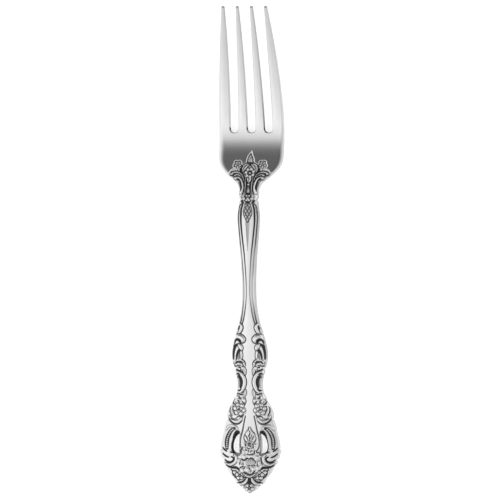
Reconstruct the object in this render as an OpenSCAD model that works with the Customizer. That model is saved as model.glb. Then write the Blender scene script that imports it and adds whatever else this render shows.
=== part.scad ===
// Dinner fork: one struck steel forging, drawn as its named regions and the ornament raised on them.
// Millimetres. +Y runs from the handle end to the tine tips, +X is to the right, +Z is up.
// The fork lies face up on the plane z = 0, and the origin is under the middle of its box.

/* [Tines] */
// Depth of the slots between the tines
tine_len = 49; // [42:1:56]
// Width across the head at the slots
head_w = 25.8; // [23:0.1:28]
// Width across the four tips
tip_span = 18.2; // [15:0.1:19]
// Width of one tine at its tip
tip_w = 1.3; // [0.8:0.1:2]
// Width of a slot at its rounded bottom
slot_w = 3.3; // [2.4:0.1:3.6]
// Width of an inner tine above the slot bottom
tine_root_w = 3.6; // [2.8:0.1:4]
// Thickness of a tine at its tip
tip_t = 1.1; // [0.8:0.1:1.6]
// Height of the tips' underside above the table
tip_rise = 15.5; // [11:0.5:20]

/* [Head] */
// From the slot bottoms to the neck
palm_len = 22; // [19:0.5:26]
// Thickness of the palm
palm_t = 2; // [1.6:0.1:2.6]
// Length of the flat under the palm that rests on the table
belly_flat_len = 3; // [2:0.5:6]

/* [Neck and stem] */
// Length of the neck between the palm and the stem
neck_len = 6; // [5:0.5:8]
// Width of the neck
neck_w = 7.6; // [7:0.2:8.6]
// Length of the stem
stem_len = 46; // [38:1:56]
// Width of the stem where it leaves the neck
stem_w = 8.8; // [8:0.2:10]
// Width of the stem at its thinnest
stem_thin_w = 5.3; // [5.2:0.1:7]
// Thickness of the stem
stem_t = 3.8; // [3:0.1:4.6]
// Height of the stem's underside above the table
arch_h = 4.6; // [3:0.2:8]

/* [Handle] */
// From the stem to the waist
swell_len = 24.4; // [22:0.2:30]
// From the waist to the top of the pierced openings
bell_len = 19.2; // [18:0.2:24]
// From the bottom of the pierced openings to the handle end
end_len = 15.6; // [14:0.2:18]
// Width of the swelling above the waist
swell_w = 14.2; // [13:0.2:17]
// Width of the waist
waist_w = 9.8; // [9:0.2:12]
// Width below the waist, at the rose clusters
lobe_w = 18.6; // [17.6:0.2:21]
// Greatest width of the handle
end_w = 24.2; // [21:0.2:26]
// Thickness of the handle at the waist
handle_t = 3.2; // [2.6:0.1:4]
// Thickness of the handle at its end
end_t = 2.6; // [2.2:0.1:3.2]

/* [Pierced openings] */
// Length of each opening along the handle
opening_len = 7.8; // [6:0.2:9]
// Width of each opening
opening_w = 2.5; // [1.8:0.1:3.2]
// Width of the tongue between the two openings
tongue_w = 7.8; // [7:0.2:9]

/* [Ornament] */
// Height of scrolls and leaves above the ground
relief_h = 0.5; // [0.3:0.05:0.8]
// Height of rose petals above the ground
rose_h = 0.6; // [0.4:0.05:0.9]
// Height of a rose's heart above its petals
heart_h = 0.3; // [0.1:0.05:0.5]
// Diameter of the rose at the root of the head
root_rose_d = 4.4; // [3.6:0.1:5]
// Diameter of the two small roses beside it
bloom_d = 3.2; // [2.6:0.1:3.6]
// Diameter of the rose on the neck
collar_rose_d = 2.6; // [2:0.1:3]
// Diameter of the roses on the swelling
swell_rose_d = 3.6; // [3:0.1:4]
// Diameter of the roses in the clusters below the waist
cluster_rose_d = 3.8; // [3.2:0.1:4.2]
// Diameter of the rose between the openings
tongue_rose_d = 2.8; // [2.2:0.1:3.2]
// Diameter of the large rose on the handle end
end_rose_d = 6.2; // [5:0.1:7]
// Diameter of the two roses beside and below the large one
end_bloom_d = 2.8; // [2.2:0.1:3.2]
// Diameter of the rose at the very tip of the handle
tip_rose_d = 2.8; // [2.2:0.1:3.2]
// Width of the raised threads along the stem
thread_w = 0.6; // [0.4:0.05:0.8]
// Diameter of one bead on the side bows
bead_d = 1; // [0.7:0.05:1.2]

/* [Hidden] */
$fn = 48;

// Overall length, and the places along it where one region meets the next
fork_len = tine_len + palm_len + neck_len + stem_len + swell_len + bell_len + opening_len + end_len;
y_tip = fork_len / 2;
y_root = y_tip - tine_len;
y_neck = y_root - palm_len;
y_stem = y_neck - neck_len;
y_swell = y_stem - stem_len;
y_waist = y_swell - swell_len;
y_open_top = y_waist - bell_len;
y_open_bottom = y_open_top - opening_len;
y_end = -fork_len / 2;

// Places of the widest and narrowest sections between those
shoulder_len = 14.5;
y_shoulder = y_neck + shoulder_len;
y_stem_top = y_stem - 5;
y_thin = y_swell + 13;
y_bulge = y_waist + 11.5;
y_lobe = y_waist - 12;
y_arch = y_stem - 1;
belly_front = y_root + 1;
belly_back = belly_front - belly_flat_len;

// How the outlines bend: 1 is an even ease, more keeps the width longer before it falls
shoulder_bend = 1.7;
stem_bend = 0.75;
swell_bend = 1.45;
lobe_bend = 1.25;
bow_bend = 0.85;
tine_taper = 1.8;
tine_curve = 1.35;
slot_flare = 3.5;
opening_droop = 0.65;
end_fullness = 1.2;
end_blunt = 0.7;
blunt_tip_w = 1.4;

// Longest step between two sections, and points on the arc of each rounded edge
section_step = 1.6;
edge_steps = 2;
arc_steps = 8;

steel = "#c9cacc";
relief_steel = "#b4b5b8";

// Curves along the fork

function ease(t) = t * t * (3 - 2 * t);

function lean(t, bend) = 1 - ease(pow(1 - t, bend));

// Value at y in a table of [y, value, bend], eased from each row to the next
function along(table, y) =
  let (last = len(table) - 1)
  y <= table[0][0] ? table[0][1] :
  y >= table[last][0] ? table[last][1] :
  let (
    i = max([for (k = [0:last - 1]) if (table[k][0] <= y) k]),
    a = table[i],
    b = table[i + 1],
    bend = is_undef(a[2]) ? 1 : a[2]
  )
  a[1] + (b[1] - a[1]) * lean((y - a[0]) / (b[0] - a[0]), bend);

handle_widths = [
  [y_open_bottom, end_w, bow_bend], [y_lobe, lobe_w, lobe_bend], [y_waist, waist_w],
  [y_bulge, swell_w, swell_bend], [y_thin, stem_thin_w, stem_bend], [y_stem_top, stem_w],
  [y_stem, neck_w],
  [y_neck, neck_w, shoulder_bend], [y_shoulder, head_w]
];

thicknesses = [
  [y_end, end_t], [y_open_top, end_t], [y_waist, handle_t], [y_thin, stem_t],
  [y_stem, stem_t], [y_shoulder, palm_t], [y_root, palm_t], [y_tip, tip_t]
];

edge_radii = [
  [y_end, 0.6], [y_waist, 0.8], [y_thin, 1.3], [y_stem_top, 1.3],
  [y_neck, 0.9], [y_shoulder, 0.6], [y_tip, 0.35]
];

// Half the width of the head beside the tines
function head_half(y) =
  head_w / 2 - (head_w - tip_span) / 2 * pow((y - y_root) / tine_len, tine_taper);

// Half the width of the handle end, a blunt point
function end_half(y) =
  let (s = min(1, (y_open_bottom - y) / end_len))
  max(blunt_tip_w / 2, end_w / 2 * pow(1 - pow(s, end_fullness), end_blunt));

function half_width(y) =
  y > y_root ? head_half(y) : y < y_open_bottom ? end_half(y) : along(handle_widths, y) / 2;

function thickness(y) = along(thicknesses, y);

function edge_radius(y) = along(edge_radii, y);

// Underside: flat at the handle end, arched under the stem, down to the belly and up the tines
function underside(y) =
  y > belly_front ? tip_rise * pow((y - belly_front) / (y_tip - belly_front), tine_curve) :
  y > belly_back ? 0 :
  y > y_arch ? arch_h * (1 - ease((y - y_arch) / (belly_back - y_arch))) :
  y > y_open_top ? arch_h * ease((y - y_open_top) / (y_arch - y_open_top)) : 0;

function face(y) = underside(y) + thickness(y);

// Half the width of the flat land on the face, inside the rounded edges
function land(y) = half_width(y) - edge_radius(y);

// Slots between the tines

tip_gap = (tip_span - 4 * tip_w) / 3;
slot_r = slot_w / 2;
tip_r = tip_w / 2;

function root_share(y) = (y - y_root) / tine_len;

function slot_pitch(y) =
  let (s = root_share(y)) (slot_w + tine_root_w) * (1 - s) + (tip_gap + tip_w) * s;

// Half the width of a slot, with a round bottom
function slot_half(y) =
  let (
    s = root_share(y),
    full = (slot_w + (tip_gap - slot_w) * pow(s, slot_flare)) / 2,
    up = min(1, (y - y_root) / slot_r)
  )
  full * sqrt(1 - pow(1 - up, 2));

// Narrowing of a tine over the round of its tip
function tip_inset(y) =
  let (left = min(1, (y_tip - y) / tip_r)) tip_r * 0.8 * (1 - sqrt(1 - pow(1 - left, 2)));

// Outer edge of a pierced opening, which bows out from the tongue's straight side and is widest low down
function opening_edge(y) =
  let (u = 2 * pow(max(0, y - y_open_bottom) / opening_len, opening_droop) - 1)
  tongue_w / 2 + opening_w * sqrt(max(0, 1 - u * u));

// Sections along each region

function even_steps(a, b) =
  let (n = max(2, ceil((b - a) / section_step))) [for (i = [0:n]) a + (b - a) * i / n];

// Steps that crowd towards both ends, for an edge that turns round there
function round_steps(a, b, n) = [for (i = [0:n]) (a + b) / 2 - (b - a) / 2 * cos(180 * i / n)];

function tail(list) = [for (i = [1:len(list) - 1]) list[i]];

end_ys = even_steps(y_end, y_open_bottom);
open_ys = round_steps(y_open_bottom, y_open_top, arc_steps);
bell_ys = even_steps(y_open_top, y_waist);
swell_ys = even_steps(y_waist, y_swell);
stem_ys = even_steps(y_swell, y_stem);
neck_ys = even_steps(y_stem, y_neck);
palm_ys = even_steps(y_neck, y_root);
face_ys = concat(
  end_ys, tail(open_ys), tail(bell_ys), tail(swell_ys), tail(stem_ys), tail(neck_ys), tail(palm_ys)
);
tine_ys = concat(
  [for (i = [0:arc_steps - 1]) y_root + slot_r * (1 - cos(90 * i / arc_steps))],
  even_steps(y_root + slot_r, y_tip - tip_r),
  [for (i = [1:4]) y_tip - tip_r * (1 - sin(90 * i / 4))]
);

// One section: a flat plate between two edges with rounded corners
function section(y, left, right) =
  let (
    low = underside(y),
    high = face(y),
    r = min(edge_radius(y), 0.45 * (high - low), 0.4 * (right - left)),
    corners = [[left + r, low + r], [right - r, low + r], [right - r, high - r], [left + r, high - r]]
  )
  [
    for (c = [0:3], k = [0:edge_steps])
      let (a = 180 + 90 * c + 90 * k / edge_steps)
      [corners[c][0] + r * cos(a), y, corners[c][1] + r * sin(a)]
  ];

// Solid through the sections at ys, between two edges given as functions of y
module plate(ys, left, right) {
  ring_n = 4 * (edge_steps + 1);
  last = len(ys) - 1;
  points = [for (y = ys) each section(y, left(y), right(y))];
  sides = [
    for (i = [0:last - 1], j = [0:ring_n - 1])
      let (a = i * ring_n + j, b = i * ring_n + (j + 1) % ring_n)
      each [[a, b, a + ring_n], [b, b + ring_n, a + ring_n]]
  ];
  start = [for (j = [0:ring_n - 1]) ring_n - 1 - j];
  finish = [for (j = [0:ring_n - 1]) last * ring_n + j];
  color(steel) polyhedron(points, concat(sides, [start, finish]));
}

// Solid as wide as the fork between two edges that mirror each other
module full_plate(ys) {
  plate(ys, function(y) -half_width(y), function(y) half_width(y));
}

// Raised ornament

top_z = max(tip_rise, arch_h) + stem_t + 2;

// Layer of height h that lies on the face between two places
module relief_layer(from, to, h) {
  ys = [for (y = face_ys) if (y > from - 2 * section_step && y < to + 2 * section_step) y];
  last = len(ys) - 1;
  rotate([90, 0, 90]) linear_extrude(2 * head_w, center = true) polygon(concat(
    [for (y = ys) [y, face(y)]],
    [for (i = [0:last]) [ys[last - i], face(ys[last - i]) + h]]
  ));
}

// Gives a flat drawing height h on the face
module raised(from, to, h) {
  color(relief_steel) intersection() {
    linear_extrude(top_z) children();
    relief_layer(from, to, h);
  }
}

module in_pairs() {
  children();
  mirror([1, 0, 0]) children();
}

// Leaf of two arcs that meet in points, along Y
module leaf_drawing(w, l) {
  r = (l * l + w * w) / (4 * w);
  intersection() {
    translate([r - w / 2, 0]) circle(r);
    translate([w / 2 - r, 0]) circle(r);
  }
}

// C-scroll: a crescent with outer radius r and width w, bulging along +X, with a knob at one tip
module scroll_drawing(r, w, half_span, knob_d) {
  inner = r - w;
  shift = (r * r - inner * inner) / (2 * (inner - r * cos(half_span)));
  difference() {
    circle(r);
    translate([-shift, 0]) circle(inner + shift);
  }
  rotate(-half_span) translate([r - w / 4, 0]) circle(d = knob_d);
}

module rose_drawing(d) {
  petals = 5;
  for (i = [0:petals - 1]) rotate(360 / petals * i) translate([0, 0.29 * d]) circle(d = 0.42 * d);
  circle(d = 0.42 * d);
}

// Strip of width w that follows a line given as x of y
module strip_drawing(ys, line, w) {
  last = len(ys) - 1;
  polygon(concat(
    [for (y = ys) [line(y) - w / 2, y]],
    [for (i = [0:last]) [line(ys[last - i]) + w / 2, ys[last - i]]]
  ));
}

module rose(x, y, d) {
  raised(y - d, y + d, rose_h) translate([x, y]) rose_drawing(d);
  raised(y - d, y + d, rose_h + heart_h) translate([x, y]) circle(d = 0.34 * d);
}

module leaf(x, y, w, l, turn) {
  raised(y - l, y + l, relief_h) translate([x, y]) rotate(turn) leaf_drawing(w, l);
}

// C-scroll that bulges towards an angle in plan
module scroll(x, y, r, w, half_span, bulge, knob_d) {
  reach = r + knob_d;
  raised(y - reach, y + reach, relief_h)
    translate([x, y]) rotate(bulge) scroll_drawing(r, w, half_span, knob_d);
}

// Tines, from left to right

module outer_left_tine() {
  plate(
    tine_ys,
    function(y) -head_half(y) + tip_inset(y),
    function(y) -slot_pitch(y) - slot_half(y) - tip_inset(y)
  );
}

module inner_left_tine() {
  plate(
    tine_ys,
    function(y) -slot_pitch(y) + slot_half(y) + tip_inset(y),
    function(y) -slot_half(y) - tip_inset(y)
  );
}

module inner_right_tine() mirror([1, 0, 0]) inner_left_tine();

module outer_right_tine() mirror([1, 0, 0]) outer_left_tine();

// Regions from the head to the handle end

module palm() full_plate(palm_ys);

module neck() full_plate(neck_ys);

module stem() full_plate(stem_ys);

module handle_swell() full_plate(swell_ys);

module handle_bell() full_plate(bell_ys);

module handle_end() full_plate(end_ys);

module handle_tongue() plate(open_ys, function(y) -tongue_w / 2, function(y) tongue_w / 2);

module left_bow() plate(open_ys, function(y) -half_width(y), function(y) -opening_edge(y));

module right_bow() mirror([1, 0, 0]) left_bow();

// Ornament at the root of the head

flame_l = 4.8;
root_rose_y = y_neck + 6.4;
root_rose_top = root_rose_y + root_rose_d / 2;
root_bloom_x = root_rose_d / 2 + bloom_d / 2 + 0.9;
root_bloom_y = root_rose_y + 3;
root_scroll_r = 4;
root_scroll_w = 1.2;
root_scroll_x = neck_w / 2 + 0.75 * root_scroll_r;
root_scroll_y = y_neck + 1.3;

module root_flame() leaf(x = 0, y = root_rose_top + 0.2 + flame_l / 2, w = 2.7, l = flame_l, turn = 0);

module root_curls() in_pairs() leaf(x = 1.75, y = root_rose_top + 1, w = 1, l = 2.6, turn = 38);

module root_rose() rose(x = 0, y = root_rose_y, d = root_rose_d);

module root_blooms() in_pairs() rose(x = root_bloom_x, y = root_bloom_y, d = bloom_d);

module root_scrolls() {
  in_pairs() scroll(
    x = root_scroll_x, y = root_scroll_y, r = root_scroll_r, w = root_scroll_w,
    half_span = 56, bulge = 138, knob_d = root_scroll_w
  );
}

module collar_rose() rose(x = 0, y = y_stem + neck_len * 0.4, d = collar_rose_d);

// Ornament of the stem

bud_l = 6.4;

function thread_line(y) = land(y) - thread_w / 2;

module stem_bud() leaf(x = 0, y = y_stem - 0.4 - bud_l / 2, w = 3, l = bud_l, turn = 0);

module stem_threads() {
  in_pairs() raised(y_swell, y_stem, relief_h)
    strip_drawing(stem_ys, function(y) thread_line(y), thread_w);
}

// Ornament of the swelling above the waist

swell_curl_y = y_swell - 2.6;
volute_y = y_swell - 8.7;
swell_rose_y = y_bulge - 3.2;
sweep_y = y_bulge + 1.8;
sweep_w = 1.5;
drop_w = 1.2;

module swell_curls() {
  in_pairs() leaf(x = land(swell_curl_y) - 0.9, y = swell_curl_y, w = 1.1, l = 3.8, turn = 8);
}

module swell_volutes() {
  in_pairs() scroll(
    x = land(volute_y) - 1.2, y = volute_y, r = 2.8, w = 0.6, half_span = -42, bulge = 118, knob_d = 2.2
  );
}

// On each side a sweeping leaf along the edge, and a drop inside it
module swell_leaves() {
  in_pairs() {
    leaf(x = land(sweep_y) - sweep_w / 2 - 0.2, y = sweep_y, w = sweep_w, l = 6, turn = 6);
    leaf(x = land(y_bulge) - sweep_w - drop_w - 0.4, y = y_bulge + 0.4, w = drop_w, l = 3, turn = 0);
  }
}

module swell_roses() {
  in_pairs() rose(x = land(swell_rose_y) - swell_rose_d / 2 - 0.3, y = swell_rose_y, d = swell_rose_d);
}

module waist_scrolls() {
  in_pairs() scroll(
    x = land(y_waist) + 0.4, y = y_waist + 0.8, r = 3.3, w = 1, half_span = 62, bulge = 180, knob_d = 1.3
  );
}

// Ornament below the waist

rib_half = 1.2;
cluster_x = rib_half + 0.6 + cluster_rose_d / 2;
upper_cluster_y = y_waist - 5.6;
lower_cluster_y = upper_cluster_y - cluster_rose_d - 0.3;
cup_w = 0.9;
cup_r = cluster_rose_d / 2 + 0.3 + cup_w;

// Border of the tongue, which opens from a narrow rib into a bell
function tongue_line(y) =
  rib_half + (tongue_w / 2 - edge_radius(y) - thread_w / 2 - rib_half)
    * ease(min(1, max(0, (lower_cluster_y - y) / (lower_cluster_y - y_open_top))));

module cluster_roses() {
  in_pairs() {
    rose(x = cluster_x, y = upper_cluster_y, d = cluster_rose_d);
    rose(x = cluster_x, y = lower_cluster_y, d = cluster_rose_d);
  }
}

// Cups under the lower roses
module bell_scrolls() {
  in_pairs() scroll(
    x = cluster_x, y = lower_cluster_y, r = cup_r, w = cup_w, half_span = 70, bulge = -50, knob_d = 0.9
  );
}

module tongue_threads() {
  ys = concat(open_ys, tail([for (y = bell_ys) if (y < upper_cluster_y) y]));
  in_pairs() raised(y_open_bottom, y_waist, relief_h)
    strip_drawing(ys, function(y) tongue_line(y), thread_w);
}

// Fan of three leaves that share a root
module tongue_palmette() {
  leaf(x = 0, y = y_open_top, w = 1.6, l = 5.6, turn = 0);
  in_pairs() leaf(x = 1.3, y = y_open_top - 0.8, w = 1.2, l = 4.2, turn = -22);
}

module tongue_rose() rose(x = 0, y = y_open_bottom + tongue_rose_d / 2 + 1.2, d = tongue_rose_d);

// Ornament of the side bows and the handle end

bow_scroll_r = 2.2;
bow_scroll_w = 0.8;
bead_n = 6;
bead_margin = 1.2;
end_rose_y = y_open_bottom - end_rose_d / 2 - 0.6;
end_bloom_y = end_rose_y - end_rose_d / 2 - 1.5;
end_scroll_r = 2.6;
plume_w = 1.2;
plume_l = 4.4;

module bow_scrolls() {
  in_pairs() scroll(
    x = tongue_w / 2 + opening_w, y = y_open_top + 0.9 * bow_scroll_r,
    r = bow_scroll_r, w = bow_scroll_w, half_span = 65, bulge = 90, knob_d = 1.25 * bow_scroll_w
  );
}

module bow_beads() {
  in_pairs() for (i = [0:bead_n - 1]) {
    y = y_open_bottom + bead_margin + (opening_len - 2 * bead_margin) * i / (bead_n - 1);
    raised(y - bead_d, y + bead_d, relief_h)
      translate([(half_width(y) + opening_edge(y)) / 2, y]) circle(d = bead_d);
  }
}

module end_rose() rose(x = 0, y = end_rose_y, d = end_rose_d);

module end_blooms() in_pairs() rose(x = end_rose_d / 2 + 0.9, y = end_bloom_y, d = end_bloom_d);

module end_scrolls() {
  in_pairs() scroll(
    x = end_rose_d / 2 + 0.8 + end_scroll_r, y = end_rose_y + 0.3,
    r = end_scroll_r, w = 1, half_span = 78, bulge = 188, knob_d = 1.4
  );
}

module end_plumes() {
  in_pairs() leaf(
    x = end_w / 2 - 1.9 * plume_w, y = y_open_bottom - 0.48 * plume_l, w = plume_w, l = plume_l, turn = -10
  );
}

module end_leaves() in_pairs() leaf(x = 2.6, y = end_bloom_y - 2.4, w = 1.3, l = 4.2, turn = -42);

module tip_rose() rose(x = 0, y = y_end + tip_rose_d / 2 + 1, d = tip_rose_d);

outer_left_tine();
inner_left_tine();
inner_right_tine();
outer_right_tine();
palm();
neck();
stem();
handle_swell();
handle_bell();
handle_tongue();
left_bow();
right_bow();
handle_end();
root_flame();
root_curls();
root_rose();
root_blooms();
root_scrolls();
collar_rose();
stem_bud();
stem_threads();
swell_curls();
swell_volutes();
swell_leaves();
swell_roses();
waist_scrolls();
cluster_roses();
bell_scrolls();
tongue_threads();
tongue_palmette();
tongue_rose();
bow_scrolls();
bow_beads();
end_rose();
end_blooms();
end_scrolls();
end_plumes();
end_leaves();
tip_rose();
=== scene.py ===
"""A dinner fork of polished steel with scroll, leaf and rose ornament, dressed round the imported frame."""
import math

import bpy
import numpy as np
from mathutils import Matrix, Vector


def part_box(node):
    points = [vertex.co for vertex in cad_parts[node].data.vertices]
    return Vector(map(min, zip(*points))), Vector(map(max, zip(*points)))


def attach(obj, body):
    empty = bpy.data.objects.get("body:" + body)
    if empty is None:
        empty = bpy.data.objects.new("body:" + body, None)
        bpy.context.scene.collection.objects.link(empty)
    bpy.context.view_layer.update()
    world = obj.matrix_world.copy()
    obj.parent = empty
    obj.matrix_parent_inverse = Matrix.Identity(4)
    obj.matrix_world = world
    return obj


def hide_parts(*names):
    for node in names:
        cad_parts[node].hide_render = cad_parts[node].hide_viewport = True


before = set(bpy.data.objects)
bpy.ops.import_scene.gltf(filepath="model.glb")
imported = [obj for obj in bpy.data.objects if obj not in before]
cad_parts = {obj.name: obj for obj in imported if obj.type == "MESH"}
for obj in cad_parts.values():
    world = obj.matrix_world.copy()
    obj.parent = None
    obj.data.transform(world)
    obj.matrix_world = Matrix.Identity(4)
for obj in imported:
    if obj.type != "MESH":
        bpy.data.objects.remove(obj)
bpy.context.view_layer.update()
scene = bpy.context.scene

# Lengths in this script are millimetres, and meshes are made in metres
MM = 0.001

# Stations read from the frame


def corners(node):
    """The lowest and highest corner of a CAD node, in millimetres."""
    low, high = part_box(node)
    return np.array(low) / MM, np.array(high) / MM


# Points this close along y belong to one ring
RING_SLACK = 0.006
# The step along a curve, and how many spreads its rounding takes in
CURVE_STEP = 0.05
CURVE_REACH = 3
# How far the curves through the stations are rounded
PROFILE_SPREAD = 1.5
OUTLINE_SPREAD = 0.35
TINE_SPREAD = 0.12
OPENING_SPREAD = 0.1


def rings(*nodes):
    """The section rings of CAD nodes, as rows of y, lowest x, highest x, lowest z and highest z."""
    points = np.array([v.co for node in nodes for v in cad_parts[node].data.vertices]) / MM
    found = []
    for y in np.unique(np.round(points[:, 1], 2)):
        ring = points[np.abs(points[:, 1] - y) < RING_SLACK]
        low, high = ring.min(axis=0), ring.max(axis=0)
        found.append((y, low[0], high[0], low[2], high[2]))
    return np.array(found).T


def curve(ys, values, spread):
    """A smooth function of y through values at the stations ys, rounded over about spread."""
    grid = np.arange(ys[0], ys[-1] + CURVE_STEP / 2, CURVE_STEP)
    reach = int(CURVE_REACH * spread / CURVE_STEP)
    weights = np.exp(-0.5 * (np.arange(-reach, reach + 1) * CURVE_STEP / spread) ** 2)
    padded = np.pad(np.interp(grid, ys, values), reach, mode="reflect", reflect_type="odd")
    soft = np.convolve(padded, weights / weights.sum(), mode="valid")
    return lambda y: np.interp(y, grid, soft)


SPINE = ["handle_end", "right_bow", "handle_bell", "handle_swell", "stem", "neck", "palm"]
TINES = ["outer_left_tine", "inner_left_tine", "inner_right_tine", "outer_right_tine"]

y_end = corners("handle_end")[0][1]
y_open_bottom, y_open_top = corners("right_bow")[0][1], corners("right_bow")[1][1]
y_waist = corners("handle_bell")[1][1]
y_swell = corners("handle_swell")[1][1]
y_stem, y_neck = corners("stem")[1][1], corners("neck")[1][1]
y_root, y_tip = corners("palm")[1][1], corners(TINES[0])[1][1]

spine_rings = rings(*SPINE, TINES[-1])
under_curve = curve(spine_rings[0], spine_rings[3], PROFILE_SPREAD)
face_curve = curve(spine_rings[0], spine_rings[4], PROFILE_SPREAD)

outline_rings = rings(*SPINE)
outline_curve = curve(outline_rings[0], outline_rings[2], OUTLINE_SPREAD)

# Outline and edges

# Small swells and nicks where leaves and scrolls meet the outline: y, outward reach, spread
SCALLOPS = [
    (19.6, -0.45, 0.5), (-28.9, -0.15, 0.5), (-46.3, -0.4, 0.5), (-47.6, 0.2, 0.6), (-57.4, 0.2, 0.7),
    (-65.9, -0.45, 0.5), (-69, 0.25, 0.8), (-77.4, -0.25, 0.3), (-78.6, 0.15, 0.5), (-79.8, -0.25, 0.3),
    (-82, -0.4, 0.4), (-83.2, 0.25, 0.6), (-85, -0.2, 0.4), (-86.8, 0.2, 0.7), (-88.9, -0.25, 0.45),
    (-91, 0.35, 0.6), (-92.7, -0.2, 0.4),
]
# How far along the handle end is rounded off
END_ROUND = 0.8

# Outer edges: y, width on the face, depth, and roundness from 0 for a bevel to 1 for a quarter round
EDGES = [
    (y_end, 0.7, 0.6, 1), (y_waist, 0.8, 0.7, 1), (-15, 0.9, 1, 1), (13, 1, 1.1, 1),
    (y_neck, 1.1, 0.9, 1), (29, 1.4, 0.7, 1), (33, 1.8, 0.72, 1), (39, 2.4, 0.75, 1),
    (y_root, 1.2, 0.45, 1), (y_root + 8, 0.5, 0.4, 1), (y_tip, 0.3, 0.28, 1),
]
BEVEL_CURVE = 1.5
# The other edges: one rounding in the slots, and width, depth and roundness elsewhere
SLOT_EDGE = 0.35
OPENING_EDGE = (0.8, 1.3, 0.3)
TONGUE_EDGE = (0.35, 0.6, 0.6)
UNDER_EDGE = (0.6, 0.45, 1)

# Light painted shade where an edge turns down into its wall: y, shade
RIMS = [
    (y_end, 0.35), (y_open_top, 0.3), (y_waist, 0.38), (y_swell, 0.45), (y_stem, 0.48), (y_neck, 0.4),
    (38, 0.3), (y_tip, 0.3),
]
# The slopes over which that painted shade sets in
RIM_STEEP = (0.6, 1.3)

# How far the middle of the face stands above its sides: y, height
CROWN = [
    (y_end, 0.6), (y_open_bottom, 1.1), (y_open_top, 1.1), (-60, 0.8), (y_waist, 0.4), (-40, 0.6),
    (-15, 0.5), (13, 0.5), (y_neck, 0.25), (38, 0),
]


def half_width(ys):
    """Half the fork's width below the slots, with the ornament's scallops and a round handle end."""
    half = outline_curve(ys)
    for y, reach, spread in SCALLOPS:
        half = half + reach * np.exp(-(((ys - y) / spread) ** 2))
    up = np.clip(ys - y_end, 0, END_ROUND)
    return half * np.sqrt(up * (2 * END_ROUND - up)) / END_ROUND


def outer_edge(ys):
    """Width, depth and roundness along the outer edge."""
    stations, *columns_of_edges = zip(*EDGES)
    return [np.interp(ys, stations, column) for column in columns_of_edges]


def even_edge(ys, *edge):
    """The same width, depth and roundness all along an edge."""
    return [np.full(ys.size, float(part)) for part in edge]


def crown(ys):
    """How far the middle of the face stands above its sides."""
    return np.interp(ys, *zip(*CROWN))


# Relief: heights and painted shade drawn one motif over another

FINEST_STROKE = 0.05


def smooth_step(low, high, value):
    """From 0 at low to 1 at high, flat at both ends."""
    t = np.clip((value - low) / (high - low), 0, 1)
    return t * t * (3 - 2 * t)


def smooth_path(points, per_span=8):
    """A smooth line through given points of x, y and width."""
    p = np.array(points, float)
    p = np.vstack([2 * p[0] - p[1], p, 2 * p[-1] - p[-2]])
    t = np.linspace(0, 1, per_span, endpoint=False)[:, None]
    spans = []
    for a, b, c, d in zip(p, p[1:], p[2:], p[3:]):
        bend, twist = 2 * a - 5 * b + 4 * c - d, 3 * b - a - 3 * c + d
        spans.append(0.5 * (2 * b + (c - a) * t + bend * t**2 + twist * t**3))
    line = np.vstack([*spans, p[-2:-1]])
    line[:, 2] = np.maximum(line[:, 2], FINEST_STROKE)
    return line


def bowl(inward, depth):
    """The height of a round cut at a share of the way in."""
    return -depth * np.sqrt(inward * (2 - inward))


def ring_places(x, y, radius, count, turn):
    """Places evenly round (x, y), from the angle turn on."""
    angles = [turn + 2 * math.pi * i / count for i in range(count)]
    return [(x + radius * math.cos(angle), y + radius * math.sin(angle)) for angle in angles]


# A form's soft edge and its height there, and how far round a stroke its groove may reach
SOFT_EDGE = 0.07
EDGE_LIFT = 0.05
GROOVE_REACH = 0.6
FAR = 1e9
TINY = 1e-9
ROSE_PETALS = 5
# How round the relief is: 1 for a full dome, less for a flat top with a round rim
ROOT_DOME = 1
HANDLE_DOME = 0.5


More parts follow.
